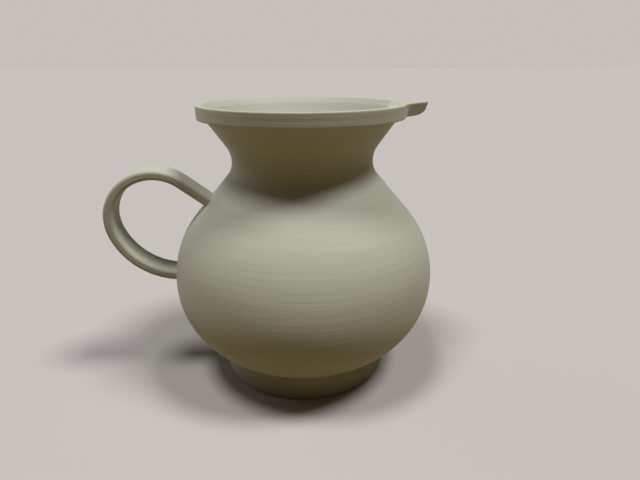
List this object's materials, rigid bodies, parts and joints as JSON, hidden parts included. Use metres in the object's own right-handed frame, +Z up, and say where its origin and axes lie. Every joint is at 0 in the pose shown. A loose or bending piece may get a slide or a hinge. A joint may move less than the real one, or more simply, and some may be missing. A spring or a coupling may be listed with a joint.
{
  "type": "milk jug",
  "caption": "Round-bellied milk jug on a flat foot, with a drawn-in neck, a flat flanged rim, a pointed pouring lip and a flat strap handle.",
  "frame": {"origin": "middle of the foot's flat underside, on the table", "axes": "+Z up along the axis of the round body, +X towards the pouring lip, -X towards the handle"},
  "size_m": [0.1182, 0.096, 0.1],
  "materials": {
    "sage_plastic": "matt grey-green plastic laid in fine level layers"
  },
  "bodies": {
    "root": {"foot": "sage_plastic", "belly": "sage_plastic", "neck": "sage_plastic", "rim": "sage_plastic", "pouring_lip": "sage_plastic", "handle": "sage_plastic"}
  },
  "joints": []
}
